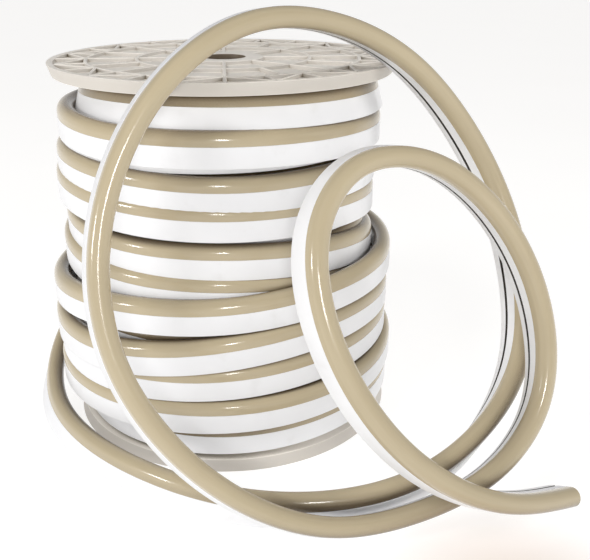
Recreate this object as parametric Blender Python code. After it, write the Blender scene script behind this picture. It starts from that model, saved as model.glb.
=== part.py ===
"""LED neon flex on its reel: a domed light strip wound on a moulded plastic reel, with the last
stretch pulled off and standing in front of it in two loose loops.

Metres, +Z up. The origin is the middle of the reel's underside, on the floor. The reel's axis is
Z, and -Y is the front. The flex is wound on its side edge: each turn stands dome up, with one
plain wall facing out.
"""
import math

import bmesh
import bpy
from mathutils import Vector

MM = 0.001

# The flex: a square channel with a half-round dome on top
flex_width = 14 * MM
flex_height = 26 * MM
dome_sides = 4

# The reel
flange_radius = 136 * MM
flange_thickness = 10 * MM
flange_taper = 3 * MM
winding_space = 276 * MM
drum_radius = 87 * MM
drum_wall = 4 * MM
bore_radius = 17 * MM
collar_height = 12 * MM
collar_wall = 3 * MM

# The relief in each flange's outer face: ring ribs, straight ribs between them, and pockets
pocket_depth = 6 * MM
rib_width = 2.4 * MM
rim_width = 5 * MM
ring_rib_radius = 107 * MM
middle_ring_radius = 68 * MM
hub_radius = 30 * MM
outer_bays = 24
inner_bays = 16
hub_bays = 8

# The visible turns, lowest first: which slot up the drum, how many layers of flex lie between its
# outer wall and the drum, and how far it has ridden up from its slot, as a share of the pitch. Then
# in millimetres: how far its wall stands out from its layer, how far it rises from the front to the
# right, and how far it has slipped to the left
visible_turns = (
    (0, 3, 0.05, 0.5, 0, 0.5),
    (1, 4, -0.04, -1.5, 1.5, 5.5),
    (2, 4, 0.04, 1.8, 0, 2.2),
    (3, 4, -0.15, -1.5, 12, 5.5),
    (4, 4, 0, 0, 8, 4),
    (4, 3, 0.36, 0.5, -7, 8.5),
    (5, 3, 0.28, -2.5, -4, 6.5),
    (6, 3, 0.30, 1, -5, 9),
    (7, 3, 0.03, 0, -4.5, 7),
    (8, 3, 0.17, 0, -3, 4),
    (9, 2.5, 0, 0.5, 0, -4.5),
)

# Sides of every turned piece, so that their flats line up
round_sides = 40

# Pieces that touch keep this gap, and points of the winding's outline are at least this far apart
seat_gap = 0.3 * MM
least_step = 0.15 * MM

# The middle of the free flex's section, in millimetres, and the way its dome faces there: down off
# the back of the winding, round the left to the floor, along the front, up and round the big loop,
# under it, up and round the small loop, and away to the right
free_route = (
    (13, 151, 129, -0.35, -0.01, 0.94),
    (-59, 147, 102, -0.34, -0.21, 0.92),
    (-110, 121, 76, -0.22, -0.37, 0.90),
    (-145, 76, 51, 0.01, -0.42, 0.91),
    (-160, 17, 29, 0.25, -0.32, 0.91),
    (-152, -45, 17, 0.35, 0.00, 0.94),
    (-121, -104, 14.5, 0.16, 0.11, 0.98),
    (-68, -158, 15, 0.02, 0.02, 1.00),
    (-5, -193, 14, 0.00, -0.03, 1.00),
    (62, -204, 15, -0.06, -0.15, 0.99),
    (126, -194, 24, -0.14, -0.38, 0.91),
    (179, -168, 49, -0.03, -0.71, 0.71),
    (211, -137, 86, 0.15, -0.84, 0.52),
    (218, -107, 137, 0.28, -0.85, 0.45),
    (204, -82, 197, 0.29, -0.88, 0.38),
    (171, -72, 256, 0.27, -0.93, 0.24),
    (127, -78, 302, 0.31, -0.95, 0.09),
    (72, -96, 329, 0.38, -0.92, 0.06),
    (19, -119, 332, 0.38, -0.91, 0.13),
    (-28, -143, 308, 0.31, -0.93, 0.17),
    (-65, -162, 260, 0.30, -0.94, 0.17),
    (-83, -180, 199, 0.34, -0.91, 0.25),
    (-77, -199, 137, 0.36, -0.86, 0.37),
    (-47, -215, 83, 0.34, -0.79, 0.50),
    (3, -226, 39, 0.28, -0.76, 0.59),
    (60, -227, 16, 0.17, -0.77, 0.62),
    (123, -217, 17, 0.07, -0.77, 0.63),
    (180, -200, 36, -0.03, -0.80, 0.60),
    (212, -181, 71, -0.10, -0.89, 0.44),
    (218, -163, 121, 0.11, -0.95, 0.30),
    (201, -149, 176, 0.21, -0.95, 0.24),
    (164, -147, 224, 0.24, -0.96, 0.17),
    (118, -156, 250, 0.30, -0.94, 0.18),
    (80, -169, 248, 0.34, -0.92, 0.21),
    (55, -187, 221, 0.47, -0.84, 0.26),
    (52, -207, 174, 0.51, -0.77, 0.38),
    (74, -227, 117, 0.46, -0.75, 0.48),
    (114, -239, 70, 0.39, -0.78, 0.50),
    (165, -236, 38, 0.40, -0.80, 0.45),
    (232, -205, 14, 0.45, -0.78, 0.44),
)
steps_between_points = 2

# Sizes that follow from these
space_bottom = flange_thickness + seat_gap
space_top = flange_thickness + winding_space - seat_gap
reel_height = winding_space + 2 * flange_thickness
collar_radius = drum_radius - drum_wall - seat_gap
winding_bore_radius = drum_radius + seat_gap
turns = int((space_top - space_bottom) // flex_height)
pitch = (space_top - space_bottom - flex_height) / max(turns - 1, 1)
dome_radius = flex_width / 2
dome_spring = flex_height - dome_radius


def clear_scene():
    for item in list(bpy.data.objects):
        bpy.data.objects.remove(item, do_unlink=True)


def plastic(name, colour, roughness):
    material = bpy.data.materials.new(name)
    material.use_nodes = True
    shader = material.node_tree.nodes["Principled BSDF"]
    shader.inputs["Base Color"].default_value = (*colour, 1)
    shader.inputs["Metallic"].default_value = 0
    shader.inputs["Roughness"].default_value = roughness
    return material


def add_object(name, shape, material):
    bmesh.ops.recalc_face_normals(shape, faces=shape.faces)
    mesh = bpy.data.meshes.new(name)
    shape.to_mesh(mesh)
    shape.free()
    piece = bpy.data.objects.new(name, mesh)
    bpy.context.scene.collection.objects.link(piece)
    if material:
        mesh.materials.append(material)
    return piece


def shade_round(piece):
    piece.data.shade_smooth()
    piece.data.set_sharp_from_angle(angle=math.radians(40))


def join_rings(shape, rings):
    """Close each ring of points to the next with four-sided faces."""
    for ring, following in zip(rings, rings[1:]):
        for i in range(len(ring)):
            j = (i + 1) % len(ring)
            shape.faces.new((ring[i], ring[j], following[j], following[i]))


def turned(outline_at):
    """Join the closed outlines of (radius, height) points that stand all round the Z axis."""
    shape = bmesh.new()
    rings = []
    for i in range(round_sides):
        angle = 2 * math.pi * i / round_sides
        ring = [
            shape.verts.new((r * math.cos(angle), r * math.sin(angle), z))
            for r, z in outline_at(angle)
        ]
        rings.append(ring)
    join_rings(shape, rings + rings[:1])
    return shape


def inset(corners, margin):
    """Move each side of a convex outline, given anticlockwise, inwards by the margin."""
    lines = []
    for start, end in zip(corners, corners[1:] + corners[:1]):
        along = (end - start).normalized()
        inwards = Vector((-along.y, along.x))
        lines.append((start + inwards * margin, along))
    moved = []
    for i, (point, along) in enumerate(lines):
        before, along_before = lines[i - 1]
        cross = along_before.x * along.y - along_before.y * along.x
        offset = point - before
        share = (offset.x * along.y - offset.y * along.x) / cross
        moved.append(before + along_before * share)
    return moved


def polar(radius, angle):
    return Vector((radius * math.cos(angle), radius * math.sin(angle)))


def ring_of_bays(inner, outer, bays):
    """The outline of each bay between two ring ribs, anticlockwise from its inner first corner."""
    angles = [2 * math.pi * i / bays for i in range(bays + 1)]
    for start, end in zip(angles, angles[1:]):
        yield [polar(inner, start), polar(outer, start), polar(outer, end), polar(inner, end)]


def pocket_outlines():
    """Every pocket in a flange: triangles split by zigzag ribs outside, plain bays inside."""
    rim_edge = flange_radius - rim_width + rib_width / 2
    for i, (a, b, c, d) in enumerate(ring_of_bays(ring_rib_radius, rim_edge, outer_bays)):
        halves = ([a, b, c], [a, c, d]) if i % 2 else ([a, b, d], [b, c, d])
        for half in halves:
            yield inset(half, rib_width / 2)
    for bay in ring_of_bays(middle_ring_radius, ring_rib_radius, inner_bays):
        yield inset(bay, rib_width / 2)
    for bay in ring_of_bays(hub_radius, middle_ring_radius, hub_bays):
        yield inset(bay, rib_width / 2)


def relief_cutter(name, low, high):
    shape = bmesh.new()
    for outline in pocket_outlines():
        bottom = [shape.verts.new((*corner, low)) for corner in outline]
        top = [shape.verts.new((*corner, high)) for corner in outline]
        shape.faces.new(bottom)
        shape.faces.new(top)
        join_rings(shape, [bottom, top])
    cutter = add_object(name, shape, None)
    cutter.hide_render = True
    cutter.display_type = "WIRE"
    return cutter


def flange(name, outer_face, inwards, material):
    """A flange whose outer face is at the given height; inwards is +1 or -1, towards the drum."""
    inner_face = outer_face + inwards * flange_thickness
    collar_end = inner_face + inwards * collar_height
    outline = [
        (bore_radius, outer_face),
        (flange_radius, outer_face),
        (flange_radius - flange_taper, inner_face),
        (collar_radius, inner_face),
        (collar_radius, collar_end),
        (collar_radius - collar_wall, collar_end),
        (collar_radius - collar_wall, inner_face),
        (bore_radius, inner_face),
    ]
    piece = add_object(name, turned(lambda angle: outline), material)
    floor = outer_face + inwards * pocket_depth
    outside = outer_face - inwards * pocket_depth
    cut = piece.modifiers.new("relief", "BOOLEAN")
    cut.operation = "DIFFERENCE"
    cut.solver = "EXACT"
    cut.object = relief_cutter(name + "_relief", min(floor, outside), max(floor, outside))
    shade_round(piece)
    return piece


def drum(material):
    outline = [
        (drum_radius - drum_wall, space_bottom),
        (drum_radius, space_bottom),
        (drum_radius, space_top),
        (drum_radius - drum_wall, space_top),
    ]
    piece = add_object("drum", turned(lambda angle: outline), material)
    shade_round(piece)
    return piece


def turn_radius(wall, height):
    """How far out a turn's outline reaches, at a height above its own base."""
    if height <= dome_spring:
        return wall
    drop = height - dome_spring
    return wall - dome_radius + math.sqrt(max(dome_radius ** 2 - drop ** 2, 0))


def turns_at(angle):
    """Each visible turn's base height and the radius of its wall, at an angle round the reel."""
    for slot, layers, lift, stands_out, rises, slips in visible_turns:
        base = space_bottom + (slot + lift) * pitch + rises * MM * math.cos(angle)
        base = min(max(base, space_bottom), space_top - flex_height)
        stands_out = stands_out - slips * math.cos(angle)
        yield base, drum_radius + layers * flex_width + stands_out * MM


def winding_outline(angle):
    """The outline of the winding's section at an angle, from its bore's foot, anticlockwise: each
    turn's wall and dome, as far as the turns in front of it let it show."""
    turns = list(turns_at(angle))
    levels = []
    for base, _ in turns:
        levels += [base - least_step, base + least_step]
        for step in range(4):
            levels.append(base + dome_spring + dome_radius * math.sin(math.pi / 2 * step / 3))

    def reach(level):
        walls = [turn_radius(wall, level - base) for base, wall in turns
                 if base <= level <= base + flex_height]
        return max(walls + [drum_radius + 2 * flex_width])

    outline = [(winding_bore_radius, space_bottom), (reach(space_bottom), space_bottom)]
    for level in sorted(levels):
        level = max(level, outline[-1][1] + least_step)
        outline.append((reach(level), level))
    outline[-1] = (outline[-1][0], space_top)
    outline.append((winding_bore_radius, space_top))
    return outline


def wound_flex(material):
    piece = add_object("wound_flex", turned(winding_outline), material)
    shade_round(piece)
    return piece


def between(points, i, share):
    """A point on the smooth curve through a list of points, a share of the way past point i."""
    last = len(points) - 1
    before = points[i - 1] if i > 0 else 2 * points[0] - points[1]
    start = points[i]
    end = points[min(i + 1, last)]
    after = points[i + 2] if i + 2 <= last else 2 * points[last] - points[last - 1]
    cubic = -before + 3 * start - 3 * end + after
    square = 2 * before - 5 * start + 4 * end - after
    return (2 * start + (end - before) * share + square * share ** 2 + cubic * share ** 3) / 2


def along_route():
    """Where the free flex's section is and how it stands, station by station."""
    middles = [Vector(row[:3]) * MM for row in free_route]
    domes = [Vector(row[3:]) for row in free_route]
    places = [(i, step / steps_between_points) for i in range(len(middles) - 1)
              for step in range(steps_between_points)]
    places.append((len(middles) - 2, 1))
    centres = [between(middles, i, share) for i, share in places]
    stations = []
    for n, (i, share) in enumerate(places):
        ahead = centres[min(n + 1, len(centres) - 1)]
        behind = centres[max(n - 1, 0)]
        tangent = (ahead - behind).normalized()
        dome = between(domes, i, share)
        dome = (dome - tangent * dome.dot(tangent)).normalized()
        stations.append((centres[n], tangent.cross(dome), dome))
    return stations


def flex_section():
    """The section's corners as (sideways, up the dome) from its middle."""
    half = flex_width / 2
    corners = [(-half, -flex_height / 2), (half, -flex_height / 2)]
    for i in range(dome_sides + 1):
        angle = math.pi * i / dome_sides
        corners.append((half * math.cos(angle), dome_spring - flex_height / 2 + dome_radius * math.sin(angle)))
    return corners


def free_flex(material):
    shape = bmesh.new()
    rings = []
    for centre, side, dome in along_route():
        rings.append([shape.verts.new(centre + side * across + dome * up) for across, up in flex_section()])
    join_rings(shape, rings)
    shape.faces.new(rings[0])
    shape.faces.new(rings[-1])
    piece = add_object("free_flex", shape, material)
    shade_round(piece)
    return piece


clear_scene()
flange("bottom_flange", 0, 1, plastic("bottom_flange", (0.70, 0.66, 0.58), 0.55))
flange("top_flange", reel_height, -1, plastic("top_flange", (0.70, 0.66, 0.58), 0.55))
drum(plastic("drum", (0.70, 0.66, 0.58), 0.55))
wound_flex(plastic("wound_flex", (0.58, 0.50, 0.36), 0.25))
free_flex(plastic("free_flex", (0.58, 0.50, 0.36), 0.25))
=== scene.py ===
"""LED neon flex on its reel, with the last stretch pulled off in two loose loops in front.

Everything is in metres, in the frame of the CAD model: the origin is the middle of the reel's
underside, +Z is up along the reel's axis and -Y is the front.
"""
import math

import bpy
import numpy as np
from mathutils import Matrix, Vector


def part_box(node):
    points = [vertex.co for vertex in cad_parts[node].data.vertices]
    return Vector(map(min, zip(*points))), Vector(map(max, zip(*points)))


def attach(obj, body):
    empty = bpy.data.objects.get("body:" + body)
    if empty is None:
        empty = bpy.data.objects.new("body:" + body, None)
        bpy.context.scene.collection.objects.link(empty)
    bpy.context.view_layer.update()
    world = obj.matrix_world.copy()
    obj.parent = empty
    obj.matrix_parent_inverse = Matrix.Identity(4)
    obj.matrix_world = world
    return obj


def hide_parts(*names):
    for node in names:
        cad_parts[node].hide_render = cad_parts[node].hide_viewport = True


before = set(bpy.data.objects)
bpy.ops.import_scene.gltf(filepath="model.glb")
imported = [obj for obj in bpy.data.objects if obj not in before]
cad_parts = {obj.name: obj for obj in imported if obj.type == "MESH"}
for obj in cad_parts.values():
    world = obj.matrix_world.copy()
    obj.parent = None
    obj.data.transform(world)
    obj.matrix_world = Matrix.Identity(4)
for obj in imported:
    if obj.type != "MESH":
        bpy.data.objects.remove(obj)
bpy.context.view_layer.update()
scene = bpy.context.scene

# The camera stands a little above the reel's top and looks down on it. It is turned to the right,
# so that the reel is left of the middle and the loops have the right of the picture.
eye = (0, -0.670, 0.377)
looks_down = math.radians(22.17)
looks_right = math.radians(4.82)

lens = bpy.data.cameras.new("camera")
lens.sensor_fit = "HORIZONTAL"
lens.sensor_width = 36
lens.lens = 50.03
camera = bpy.data.objects.new("camera", lens)
camera.location = eye
camera.rotation_euler = (math.pi / 2 - looks_down, 0, -looks_right)
scene.collection.objects.link(camera)
scene.camera = camera


# The free stretch of the flex. The flex is one extruded strip: a square channel of white silicone,
# with a translucent beige half-round dome moulded on its top, and a slit along one wall where the
# channel was closed over the circuit strip. It is springy, so it stands in two loops by itself.
MM = 0.001
flex_width = 14 * MM
flex_height = 26 * MM
wall_height = 15.5 * MM
foot_round = 0.9 * MM
joint_width = 0.3 * MM
joint_depth = 0.2 * MM
slit_height = 6.8 * MM
slit_width = 2.4 * MM
slit_depth = 1.2 * MM
dome_steps = 12
flex_sharp_edge = 32
CHANNEL, SLIT, DOME = 0, 1, 2

# Where the flex last lies on the winding, and then the middle of its section along the free
# stretch, each with the way its dome faces there: down off the back of the winding, round the left
# to the floor, along the front, up and round the big loop, under it, up and round the small loop,
# and away to the right
last_hold = (0.103, 0.103, 0.137, 0, 0, 1)
free_route = (
    (0.013, 0.151, 0.129, -0.35, -0.01, 0.94),
    (-0.059, 0.147, 0.102, -0.34, -0.21, 0.92),
    (-0.110, 0.121, 0.076, -0.22, -0.37, 0.90),
    (-0.145, 0.076, 0.051, 0.01, -0.42, 0.91),
    (-0.160, 0.017, 0.029, 0.25, -0.32, 0.91),
    (-0.152, -0.045, 0.017, 0.35, 0.00, 0.94),
    (-0.121, -0.104, 0.0145, 0.16, 0.11, 0.98),
    (-0.068, -0.158, 0.015, 0.02, 0.02, 1.00),
    (-0.005, -0.193, 0.014, 0.00, -0.03, 1.00),
    (0.062, -0.204, 0.015, -0.06, -0.15, 0.99),
    (0.126, -0.194, 0.024, -0.14, -0.38, 0.91),
    (0.179, -0.168, 0.049, -0.03, -0.71, 0.71),
    (0.211, -0.137, 0.086, 0.27, -0.82, 0.50),
    (0.218, -0.107, 0.137, 0.42, -0.80, 0.43),
    (0.204, -0.082, 0.197, 0.43, -0.80, 0.42),
    (0.171, -0.072, 0.256, 0.38, -0.86, 0.34),
    (0.127, -0.078, 0.302, 0.35, -0.92, 0.18),
    (0.072, -0.096, 0.329, 0.38, -0.92, 0.06),
    (0.019, -0.119, 0.332, 0.38, -0.91, 0.13),
    (-0.028, -0.143, 0.308, 0.31, -0.93, 0.17),
    (-0.065, -0.162, 0.260, 0.30, -0.94, 0.17),
    (-0.083, -0.180, 0.199, 0.34, -0.91, 0.25),
    (-0.077, -0.199, 0.137, 0.36, -0.86, 0.37),
    (-0.047, -0.215, 0.083, 0.34, -0.79, 0.50),
    (0.003, -0.226, 0.039, 0.28, -0.76, 0.59),
    (0.060, -0.227, 0.016, 0.17, -0.77, 0.62),
    (0.123, -0.217, 0.017, 0.07, -0.77, 0.63),
    (0.180, -0.200, 0.036, -0.03, -0.80, 0.60),
    (0.212, -0.181, 0.071, 0.00, -0.89, 0.46),
    (0.218, -0.163, 0.121, 0.20, -0.93, 0.31),
    (0.201, -0.149, 0.176, 0.29, -0.92, 0.27),
    (0.164, -0.147, 0.224, 0.29, -0.93, 0.22),
    (0.118, -0.156, 0.250, 0.30, -0.94, 0.18),
    (0.080, -0.169, 0.248, 0.34, -0.92, 0.21),
    (0.055, -0.187, 0.221, 0.47, -0.84, 0.26),
    (0.052, -0.207, 0.174, 0.51, -0.77, 0.38),
    (0.074, -0.227, 0.117, 0.46, -0.75, 0.48),
    (0.114, -0.239, 0.070, 0.39, -0.78, 0.50),
    (0.165, -0.236, 0.038, 0.40, -0.80, 0.45),
    (0.232, -0.205, 0.014, 0.45, -0.78, 0.44),
)
free_spacing = 4 * MM


def flex_outline():
    """The section's corners as (across, up, finish of the strip that starts there), once round
    from the left end of its underside. The slit is in the left wall."""
    side = flex_width / 2
    foot = -flex_height / 2
    joint = foot + wall_height
    spring = flex_height / 2 - side
    slit = foot + slit_height
    outline = []
    for turn in (-90, -45, 0):
        angle = math.radians(turn)
        across = side - foot_round + foot_round * math.cos(angle)
        outline.append((across, foot + foot_round + foot_round * math.sin(angle), CHANNEL))
    outline.append((side, joint - joint_width / 2, CHANNEL))
    outline.append((side - joint_depth, joint, DOME))
    outline.append((side, joint + joint_width / 2, DOME))
    for step in range(dome_steps + 1):
        angle = math.pi * step / dome_steps
        outline.append((side * math.cos(angle), spring + side * math.sin(angle), DOME))
    outline.append((-side, joint + joint_width / 2, DOME))
    outline.append((-side + joint_depth, joint, CHANNEL))
    outline.append((-side, joint - joint_width / 2, CHANNEL))
    outline.append((-side, slit + slit_width / 2, SLIT))
    outline.append((-side + slit_depth, slit + slit_width / 4, SLIT))
    outline.append((-side + slit_depth, slit - slit_width / 4, SLIT))
    outline.append((-side, slit - slit_width / 2, CHANNEL))
    for turn in (180, 225, 270):
        angle = math.radians(turn)
        across = foot_round - side + foot_round * math.cos(angle)
        outline.append((across, foot + foot_round + foot_round * math.sin(angle), CHANNEL))
    return outline


def stations_along(rows, spacing, first, last):
    """The flex's middle, its side and its dome's direction, at even steps along a smooth curve
    through the rows of six numbers, from the first row given to the last."""
    rows = np.array(rows, float)
    chords = np.linalg.norm(np.diff(rows[:, :3], axis=0), axis=1)
    knots = np.concatenate([[0], np.cumsum(chords)])
    system = np.eye(len(rows))
    pull = np.zeros_like(rows)
    for i in range(1, len(rows) - 1):
        system[i, i - 1:i + 2] = chords[i - 1], 2 * (chords[i - 1] + chords[i]), chords[i]
        pull[i] = (rows[i + 1] - rows[i]) / chords[i] - (rows[i] - rows[i - 1]) / chords[i - 1]
    bend = np.linalg.solve(system, 6 * pull)
    steps = round((knots[last] - knots[first]) / spacing)
    at = np.linspace(knots[first], knots[last], steps + 1)
    i = np.clip(np.searchsorted(knots, at, side="right") - 1, 0, len(chords) - 1)
    span = chords[i][:, None]
    to_end = (knots[i + 1] - at)[:, None] / span
    done = 1 - to_end
    pulled = (to_end ** 3 - to_end) * bend[i] + (done ** 3 - done) * bend[i + 1]
    curve = to_end * rows[i] + done * rows[i + 1] + pulled * span ** 2 / 6
    centre = curve[:, :3]
    along = np.gradient(centre, axis=0)
    along /= np.linalg.norm(along, axis=1)[:, None]
    dome = curve[:, 3:]
    dome = dome - along * np.sum(dome * along, axis=1)[:, None]
    dome /= np.linalg.norm(dome, axis=1)[:, None]
    return centre, np.cross(along, dome), dome


def sweep_flex(name, stations, finishes):
    """The flex's section carried along its stations, with both ends cut square."""
    centre, side, dome = stations
    outline = flex_outline()
    across = np.array([corner[0] for corner in outline])
    up = np.array([corner[1] for corner in outline])
    rings = centre[:, None] + side[:, None] * across[:, None] + dome[:, None] * up[:, None]
    count = len(outline)
    closed = np.append(np.arange(count), 0)
    around = np.hypot(np.diff(across[closed]), np.diff(up[closed])).cumsum()
    around = np.concatenate([[0], around])
    run = np.concatenate([[0], np.linalg.norm(np.diff(centre, axis=0), axis=1).cumsum()])
    faces, face_finishes, places = [], [], []
    for i in range(len(centre) - 1):
        for j in range(count):
            k = (j + 1) % count
            faces.append((i * count + j, (i + 1) * count + j, (i + 1) * count + k, i * count + k))
            face_finishes.append(outline[j][2])
            near, far = run[i], run[i + 1]
            places += [(near, around[j]), (far, around[j]), (far, around[j + 1]), (near, around[j + 1])]
    upper = [j for j in range(count) if up[j] >= wall_height - flex_height / 2 - 1e-9]
    lower = [j for j in range(count) if j <= upper[0] or j >= upper[-1]]
    for start, turned in ((0, False), ((len(centre) - 1) * count, True)):
        for part, finish in ((lower, CHANNEL), (upper, DOME)):
            cap = [start + j for j in part]
            faces.append(cap[::-1] if turned else cap)
            face_finishes.append(finish)
            places += [(run[-1] if turned else 0, up[j]) for j in part]
    mesh = bpy.data.meshes.new(name)
    mesh.from_pydata(rings.reshape(-1, 3).tolist(), [], faces)
    for finish in finishes:
        mesh.materials.append(finish)
    mesh.polygons.foreach_set("material_index", face_finishes)
    layer = mesh.uv_layers.new(name="run_and_round")
    layer.data.foreach_set("uv", np.array(places, np.float32).ravel())
    mesh.shade_smooth()
    mesh.set_sharp_from_angle(angle=math.radians(flex_sharp_edge))
    piece = bpy.data.objects.new(name, mesh)
    scene.collection.objects.link(piece)
    return piece


class Wire:
    """A socket of a shader node. Sums with it add Math nodes to its material."""

    def __init__(self, socket):
        self.socket = socket

    def node(self, kind, settings, sockets, output=0):
        """Add a node, with its settings first and then the values or wires of its sockets."""
        tree = self.socket.id_data
        made = tree.nodes.new(kind)
        for name, value in settings.items():
            if name == "stops":
                ramp = made.color_ramp.elements
                while len(ramp) < len(value):
                    ramp.new(1)
                for element, (position, colour) in zip(ramp, value):
                    element.position = position
                    element.color = (*colour, 1)
            else:
                setattr(made, name, value)
        for name, value in sockets.items():
            if isinstance(value, Wire):
                tree.links.new(value.socket, made.inputs[name])
            else:
                made.inputs[name].default_value = value
        return Wire(made.outputs[output])

    def math(self, operation, *values):
        return self.node("ShaderNodeMath", {"operation": operation}, dict(enumerate(values)))

    def __add__(self, other):
        return self.math("ADD", self, other)

    __radd__ = __add__

    def __sub__(self, other):
        return self.math("SUBTRACT", self, other)

    def __rsub__(self, other):
        return self.math("SUBTRACT", other, self)

    def __mul__(self, other):
        return self.math("MULTIPLY", self, other)

    __rmul__ = __mul__

    def ramp(self, low, high):
        """0 at the low value, 1 at the high one, and smooth between them."""
        settings = {"interpolation_type": "SMOOTHSTEP"}
        sockets = {"Value": self, "From Min": low, "From Max": high}
        return self.node("ShaderNodeMapRange", settings, sockets)

    def blend(self, first, second):
        """The first colour where this is 0, and the second where it is 1."""
        sockets = {"Factor": self, 6: first, 7: second}
        return self.node("ShaderNodeMix", {"data_type": "RGBA"}, sockets, output=2)

    def noise(self, scale, detail=3):
        """Noise over the places that this wire holds."""
        return self.node("ShaderNodeTexNoise", {}, {"Vector": self, "Scale": scale, "Detail": detail})

    def stretched(self, x, y, z):
        """These places, scaled apart in each direction."""
        return self.node("ShaderNodeVectorMath", {"operation": "MULTIPLY"}, {0: self, 1: (x, y, z)})

    def feed(self, shader, name):
        self.socket.id_data.links.new(self.socket, shader.inputs[name])


def new_finish(name, roughness):
    """A material, its main shader and the wire of the shader's own output."""
    material = bpy.data.materials.new(name)
    material.use_nodes = True
    shader = material.node_tree.nodes["Principled BSDF"]
    shader.inputs["Roughness"].default_value = roughness
    return material, shader, Wire(shader.outputs[0])


def add_bump(shader, height, depth):
    """Raise the shader's surface by a height from 0 to 1 times the depth in metres."""
    start = Wire(shader.outputs[0])
    bump = start.node("ShaderNodeBump", {}, {"Height": height, "Distance": depth, "Strength": 0.6})
    bump.feed(shader, "Normal")


def flex_places(start):
    """Where a point is along the flex and round its section, in metres."""
    return start.node("ShaderNodeUVMap", {"uv_map": "run_and_round"}, {})


def object_places(start):
    """Where a point is in the part's own frame, in metres."""
    return start.node("ShaderNodeTexCoord", {}, {}, output=3)


def openness(start, reach):
    """1 where nothing lies in front of a point within this reach, and less in a recess."""
    return start.node("ShaderNodeAmbientOcclusion", {"samples": 8}, {"Distance": reach}, output=1)


def channel_finish():
    """White silicone, satin, with faint draw lines from the die and a little handling dirt."""
    material, shader, start = new_finish("white_channel", 0.42)
    lines = flex_places(start).stretched(6, 1400, 0).noise(1, 2)
    cloud = object_places(start).noise(14, 4)
    smudge = object_places(start).noise(55, 3).ramp(0.58, 0.78)
    white = cloud.ramp(0.3, 0.7).blend((0.84, 0.84, 0.85, 1), (0.79, 0.79, 0.80, 1))
    (smudge * 0.25).blend(white, (0.66, 0.65, 0.63, 1)).feed(shader, "Base Color")
    (0.36 + 0.14 * cloud + 0.1 * smudge).feed(shader, "Roughness")
    add_bump(shader, lines, 0.05 * MM)
    return material


def slit_finish():
    """The closed slit: painted shade, a near-black line along it, a little uneven."""
    material, shader, start = new_finish("slit_line", 0.7)
    grain = object_places(start).noise(220, 2)
    # Painted shade: the slit is coloured near black, a little uneven.
    slit_shade = grain.ramp(0.3, 0.7).blend((0.020, 0.016, 0.013, 1), (0.045, 0.036, 0.029, 1))
    slit_shade.feed(shader, "Base Color")
    (0.6 + 0.2 * grain).feed(shader, "Roughness")
    return material


def dome_finish():
    """The translucent beige dome: glossy, with soft flow marks along it, and painted shade, dark
    brown, in recesses where little light gets in."""
    material, shader, start = new_finish("beige_dome", 0.16)
    flow = flex_places(start).stretched(9, 240, 0).noise(1, 3)
    cloud = object_places(start).noise(9, 3)
    beige = cloud.ramp(0.3, 0.7).blend((0.475, 0.398, 0.262, 1), (0.435, 0.362, 0.236, 1))
    milky = (flow.ramp(0.35, 0.75) * 0.35).blend(beige, (0.525, 0.444, 0.304, 1))
    # Painted shade: the dome is coloured dark brown where nearby surfaces close it in.
    lit = openness(start, 70 * MM).ramp(0.12, 0.9)
    lit.blend((0.110, 0.078, 0.044, 1), milky).feed(shader, "Base Color")
    (0.13 + 0.09 * flow).feed(shader, "Roughness")
    shader.inputs["IOR"].default_value = 1.46
    shader.inputs["Coat Weight"].default_value = 0.35
    shader.inputs["Coat Roughness"].default_value = 0.06
    add_bump(shader, flow, 0.04 * MM)
    return material


flex_finishes = [channel_finish(), slit_finish(), dome_finish()]
free_stations = stations_along((last_hold, *free_route), free_spacing, 1, len(free_route))
free_flex = sweep_flex("free_flex_loops", free_stations, flex_finishes)
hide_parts("free_flex")
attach(free_flex, "root")


# The drum is a plain moulded tube between the flanges. The winding hides it, and it shows only
# down the bore, where it is painted a dim brown as shade.
bore_radius = 17 * MM


def reel_finish(name, light, dark, sides):
    """Cream moulded plastic: satin, a little mottled, with a fine moulded grain. Painted shade:
    faces that stand upright are greyer, the corners of the pockets darker, and the bore dark brown."""
    material, shader, start = new_finish(name, 0.5)
    places = object_places(start)
    mottle = places.noise(26, 4)
    grain = places.noise(900, 2)
    cream = mottle.ramp(0.3, 0.7).blend((*light, 1), (*dark, 1))
    normal = start.node("ShaderNodeNewGeometry", {}, {}, output=1)
    rise = normal.node("ShaderNodeSeparateXYZ", {}, {"Vector": normal}, output=2)
    # Painted shade: faces that stand upright are coloured greyer than the tops.
    upright = 1 - rise.math("ABSOLUTE", rise).ramp(0.3, 0.8)
    plain = (upright * 0.75).blend(cream, (*sides, 1))
    # Painted shade: the corners of the pockets are coloured darker brown.
    corner_shade = openness(start, 10 * MM).ramp(0.1, 0.6).blend((0.30, 0.25, 0.18, 1), plain)
    # Painted shade: inside the bore's radius the plastic is coloured dark brown.
    level = places.stretched(1, 1, 0)
    from_axis = level.node("ShaderNodeVectorMath", {"operation": "LENGTH"}, {0: level}, output=1)
    out_of_bore = from_axis.ramp(bore_radius, bore_radius + 0.5 * MM)
    out_of_bore.blend((0.16, 0.12, 0.08, 1), corner_shade).feed(shader, "Base Color")
    (0.42 + 0.16 * mottle).feed(shader, "Roughness")
    add_bump(shader, grain, 0.06 * MM)
    return material


reel_plastic = reel_finish("cream_reel", (0.95, 0.90, 0.82), (0.89, 0.84, 0.76), (0.49, 0.455, 0.41))
# Painted shade: the drum gets dark brown copies of the cream, for the shade down the bore.
shaded_drum_plastic = reel_finish("drum_painted_shade", (0.22, 0.18, 0.12), (0.17, 0.14, 0.09), (0.07, 0.055, 0.035))
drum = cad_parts["drum"]
drum.data.materials.clear()
drum.data.materials.append(shaded_drum_plastic)


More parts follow.
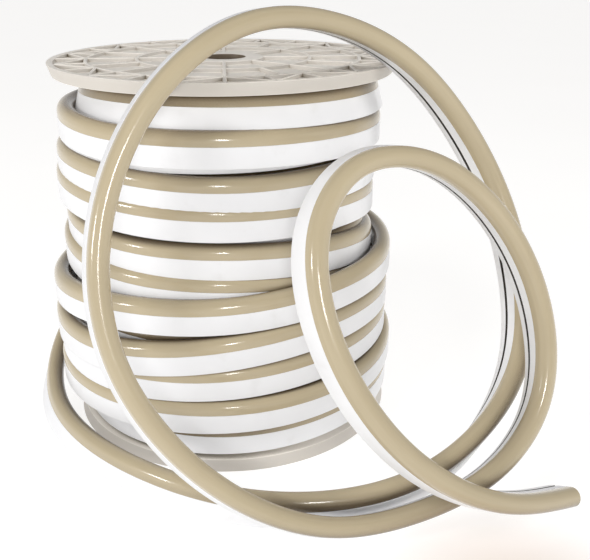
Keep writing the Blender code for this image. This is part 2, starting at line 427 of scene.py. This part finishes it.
# The winding: one length of flex, laid dome up with one plain wall facing out, up the drum in one
# layer, down in the next, and up again part of the way. It moves on to the next slot at the back. It
# was pulled tight by hand, so the turns sag, slip and lean a little.
wound_spacing = 8 * MM

# The hidden layer, in millimetres: how many turns it has, the height of the lowest one's middle, the
# step from each to the next, how far out its wall reaches, and the reaches of the last turn, which
# is already on its way out to the next layer
hidden_turns = 9
lowest_turn = 23.6
slot_pitch = 27.7
hidden_reach = 114
last_hidden_reaches = (130, 121, 112, 115)

# Each turn that shows, in the order it was wound, in millimetres: the height of its middle at the
# left, front left, front, front right and right, how far out its wall reaches at the left, front,
# right and back, and how far its dome leans in, in degrees, at the left, front left and elsewhere
shown_turns = (
    ((270, 272, 273, 272, 271), (118, 122.5, 127, 134), (15, 15, 15)),
    ((254, 251, 250, 248.5, 247), (132, 129, 125, 131), (0, 0, 0)),
    ((226, 222.5, 218, 218, 216), (135, 128.7, 121.5, 130), (0, 0, 0)),
    ((207, 202, 198, 195, 190), (137, 129.5, 121, 128), (0, 0, 0)),
    ((176, 170.5, 168.5, 161, 152), (132, 127, 121, 129), (0, 0, 0)),
    ((156, 148, 144.5, 136, 127), (136, 129, 121, 129), (0, 0, 0)),
    ((108, 105, 103, 103, 103), (135, 130, 122, 128), (0, 0, 0)),
    ((77, 77, 77, 77, 77), (133, 128, 122, 128), (0, 0, 0)),
    ((51, 51, 51, 52, 53), (132, 128, 124, 128), (0, 0, 0)),
    ((26, 26, 27.5, 31.5, 33), (130, 134, 138, 141), (0, 0, 0)),
    ((50, 50.5, 52.5, 55.5, 60), (148, 144, 140, 145), (0, 0, 0)),
    ((71.5, 73.5, 79.5, 84.5, 86), (147, 141, 135, 142), (35, 8, 0)),
    ((89, 91.5, 104, 111, 107.5), (149, 141.5, 135.5, 142), (0, 0, 0)),
    ((119, 127, 131.5, 138.5, 138.5), (148, 138.5, 138.5, 153), (0, 0, 0)),
)


def turn_row(degrees, height, reach, lean):
    """Six numbers of the flex at one side of the winding, from a height and reach in millimetres."""
    angle = math.radians(degrees)
    tilt = math.radians(lean)
    radius = reach * MM - flex_width / 2 * math.cos(tilt) - flex_height / 2 * math.sin(tilt)
    inwards = -math.sin(tilt)
    return (
        radius * math.cos(angle), radius * math.sin(angle), height * MM,
        inwards * math.cos(angle), inwards * math.sin(angle), math.cos(tilt),
    )


def corner_reach(side, other):
    """How far out the wall reaches at a corner, which lies nearer to one side's reach."""
    return 0.7 * side + 0.3 * other


def winding_rows():
    """Rows of six numbers along the winding, eight a turn, from the drum's bottom up to where the
    flex was last laid on."""
    turns = []
    for slot in range(hidden_turns):
        level = lowest_turn + slot * slot_pitch
        reaches = (hidden_reach,) * 4 if slot < hidden_turns - 1 else last_hidden_reaches
        turns.append(((level,) * 5, reaches, (0, 0, 0)))
    turns += shown_turns
    rows = []
    back = hidden_reach
    for number, (heights, reaches, leans) in enumerate(turns):
        left, front, right, behind = reaches
        last = number == len(turns) - 1
        sides = (
            (135, heights[0], corner_reach(left, back), leans[0]),
            (180, heights[0], left, leans[0]),
            (225, heights[1], corner_reach(left, front), leans[1]),
            (270, heights[2], front, leans[2]),
            (315, heights[3], corner_reach(right, front), leans[2]),
            (360, heights[4], right, leans[2]),
        )
        rows += [turn_row(*side) for side in sides]
        if not last:
            following = turns[number + 1]
            halfway = (heights[4] + following[0][0]) / 2
            rows.append(turn_row(405, heights[4], corner_reach(right, behind), leans[2]))
            rows.append(turn_row(450, halfway, behind, leans[2]))
        back = behind
    return rows


wound_rows = winding_rows()
wound_rows.append(last_hold)
wound_stations = stations_along(
    (*wound_rows, *free_route[:3]), wound_spacing, 0, len(wound_rows),
)
wound_flex = sweep_flex("wound_flex_turns", wound_stations, flex_finishes)
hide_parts("wound_flex")
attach(wound_flex, "root")


# The two flanges: like discs of moulded plastic, one of them turned over. Each has a tapered rim, a
# hub round the bore, and ring ribs with straight ribs between them that stiffen it from outside.
flange_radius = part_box("top_flange")[1].x
reel_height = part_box("top_flange")[1].z
flange_thickness = 9.2 * MM
flange_taper = 3 * MM
pocket_depth = 2.8 * MM
rib_width = 2.4 * MM
rim_width = 5 * MM
ring_ribs = (107 * MM, 68 * MM, 30 * MM)
outer_bays = 24
inner_bays = 16
hub_bays = 8
rib_round = 0.5 * MM
rib_drop = 0.1 * MM
edge_round = 0.6 * MM
draft = 0.4 * MM
flange_sides = 192
flange_sharp_edge = 38


def rounded(corners, radius, steps=3):
    """A closed outline of (r, z) corners with each corner rounded off."""
    outline = []
    corners = [np.array(corner, float) for corner in corners]
    for i, corner in enumerate(corners):
        before = corners[i - 1] - corner
        after = corners[(i + 1) % len(corners)] - corner
        reach = min(radius, np.linalg.norm(before) / 2.5, np.linalg.norm(after) / 2.5)
        start = corner + before / np.linalg.norm(before) * reach
        end = corner + after / np.linalg.norm(after) * reach
        for step in range(steps + 1):
            share = step / steps
            to_corner = 2 * share * (1 - share) * corner
            outline.append((1 - share) ** 2 * start + to_corner + share ** 2 * end)
    return outline


def flange_profile():
    """The outline of the flange's section, outer face up at height 0."""
    half = rib_width / 2
    corners = [
        (bore_radius, -flange_thickness),
        (bore_radius, 0),
    ]
    inner_edges = [(ring - half, ring + half) for ring in reversed(ring_ribs)]
    inner_edges[0] = (None, inner_edges[0][1])
    inner_edges.append((flange_radius - rim_width, None))
    for (_, out), (following, _) in zip(inner_edges, inner_edges[1:]):
        corners += [(out, 0), (out + draft, -pocket_depth)]
        corners += [(following - draft, -pocket_depth), (following, 0)]
    corners += [(flange_radius, 0), (flange_radius - flange_taper, -flange_thickness)]
    return rounded(corners, edge_round)


def straight_ribs():
    """Both ends of each straight rib: a zigzag in the outer ring, and spokes further in."""
    outer, middle, hub = ring_ribs
    rim = flange_radius - rim_width
    for i in range(outer_bays):
        start = 2 * math.pi * i / outer_bays
        end = 2 * math.pi * (i + 1) / outer_bays
        yield (outer, start), (rim, start)
        yield ((outer, start), (rim, end)) if i % 2 == 0 else ((rim, start), (outer, end))
    for bays, inside, outside in ((inner_bays, middle, outer), (hub_bays, hub, middle)):
        for i in range(bays):
            angle = 2 * math.pi * i / bays
            yield (inside, angle), (outside, angle)


def add_rib(points, faces, start, end):
    """A straight rib between two places given as (radius, angle), with softened top edges."""
    a, b = (np.array((r * math.cos(t), r * math.sin(t), 0)) for r, t in (start, end))
    along = (b - a) / np.linalg.norm(b - a)
    across = np.array((-along[1], along[0], 0))
    half = rib_width / 2
    section = [
        (-half - draft, -pocket_depth), (-half, -rib_round), (-half + rib_round, -rib_drop),
        (half - rib_round, -rib_drop), (half, -rib_round), (half + draft, -pocket_depth),
    ]
    first = len(points)
    for place in (a, b):
        for offset, height in section:
            points.append(place + across * offset + np.array((0, 0, height)))
    count = len(section)
    for j in range(count - 1):
        faces.append((first + j, first + j + 1, first + count + j + 1, first + count + j))


def build_flange(name, height, facing):
    """A flange with its outer face at this height, facing up (1) or down (-1)."""
    profile = flange_profile()
    points, faces = [], []
    for i in range(flange_sides):
        angle = 2 * math.pi * i / flange_sides
        points += [np.array((r * math.cos(angle), r * math.sin(angle), z)) for r, z in profile]
    count = len(profile)
    for i in range(flange_sides):
        k = (i + 1) % flange_sides
        for j in range(count):
            m = (j + 1) % count
            faces.append((i * count + j, i * count + m, k * count + m, k * count + j))
    for start, end in straight_ribs():
        add_rib(points, faces, start, end)
    placed = [(x, y * facing, height + z * facing) for x, y, z in points]
    mesh = bpy.data.meshes.new(name)
    mesh.from_pydata(placed, [], faces)
    mesh.materials.append(reel_plastic)
    mesh.shade_smooth()
    mesh.set_sharp_from_angle(angle=math.radians(flange_sharp_edge))
    piece = bpy.data.objects.new(name, mesh)
    scene.collection.objects.link(piece)
    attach(piece, "root")
    return piece


top_flange = build_flange("top_flange_moulding", reel_height, 1)
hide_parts("top_flange")
bottom_flange = build_flange("bottom_flange_moulding", 0, -1)
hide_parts("bottom_flange")


# The studio: a pale floor that glows a little, as a light table does, with a faint peach painted
# shadow beside the loops. A room with white walls and a dim ceiling. A large soft panel high on the
# left, a weaker one on the right, and two small softboxes at about the camera's height, which give
# the domes their highlights.
floor_half = 12.0
shadow_spot = (0.17, -0.285, 0)
lights_aim = (0, 0, 0.15)
floor_corners = [(x * floor_half, y * floor_half, 0) for x, y in ((-1, -1), (1, -1), (1, 1), (-1, 1))]
floor_mesh = bpy.data.meshes.new("floor")
floor_mesh.from_pydata(floor_corners, [], [(0, 1, 2, 3)])
floor = bpy.data.objects.new("floor", floor_mesh)
scene.collection.objects.link(floor)
paper, paper_shader, paper_start = new_finish("white_paper", 0.8)
paper_tone = object_places(paper_start).noise(3, 2).ramp(0.2, 0.8)
paper_tone.blend((0.30, 0.30, 0.30, 1), (0.32, 0.32, 0.32, 1)).feed(paper_shader, "Base Color")
paper_shader.inputs["Specular IOR Level"].default_value = 0.1
floor_place = object_places(paper_start)
from_spot = floor_place.node(
    "ShaderNodeVectorMath", {"operation": "DISTANCE"}, {0: floor_place, 1: shadow_spot}, output=1,
)
# Painted shadow: the floor's glow is dimmer and peach round this spot beside the loops.
painted_shadow = 1 - from_spot.ramp(0.02, 0.11)
painted_shadow.blend((1.0, 0.99, 0.975, 1), (0.76, 0.65, 0.57, 1)).feed(paper_shader, "Emission Color")
paper_shader.inputs["Emission Strength"].default_value = 0.82
floor_mesh.materials.append(paper)

room = bpy.data.worlds.new("white_room")
room.use_nodes = True
walls = room.node_tree.nodes["Background"]
direction = Wire(walls.outputs[0]).node("ShaderNodeTexCoord", {}, {})
height = direction.node("ShaderNodeSeparateXYZ", {}, {"Vector": direction}, output=2)
height.ramp(0.02, 0.5).blend((1, 1, 1, 1), (0.36, 0.36, 0.37, 1)).feed(walls, "Color")
walls.inputs["Strength"].default_value = 0.75
scene.world = room
scene.view_settings.view_transform = "Standard"


def softbox(name, place, width, power, mirrored=True):
    """A square soft light aimed at the middle of the reel, with or without a mirror image of it on
    glossy pieces."""
    light = bpy.data.lights.new(name, "AREA")
    light.shape = "SQUARE"
    light.size = width
    light.energy = power
    lamp = bpy.data.objects.new(name, light)
    lamp.location = place
    lamp.visible_glossy = mirrored
    aim = bpy.data.objects.new(name + "_aim", None)
    aim.location = lights_aim
    scene.collection.objects.link(aim)
    scene.collection.objects.link(lamp)
    follow = lamp.constraints.new("TRACK_TO")
    follow.target = aim
    follow.track_axis = "TRACK_NEGATIVE_Z"
    follow.up_axis = "UP_Y"


softbox("key_panel", (-1.1, -1.1, 1.9), 0.7, 17, mirrored=False)
softbox("left_softbox", (-1.42, -0.756, 0.50), 0.24, 5.5)
softbox("front_softbox", (0.00, -1.60, 0.60), 0.22, 5)
softbox("right_panel", (1.3, -0.6, 0.8), 0.6, 7, mirrored=False)
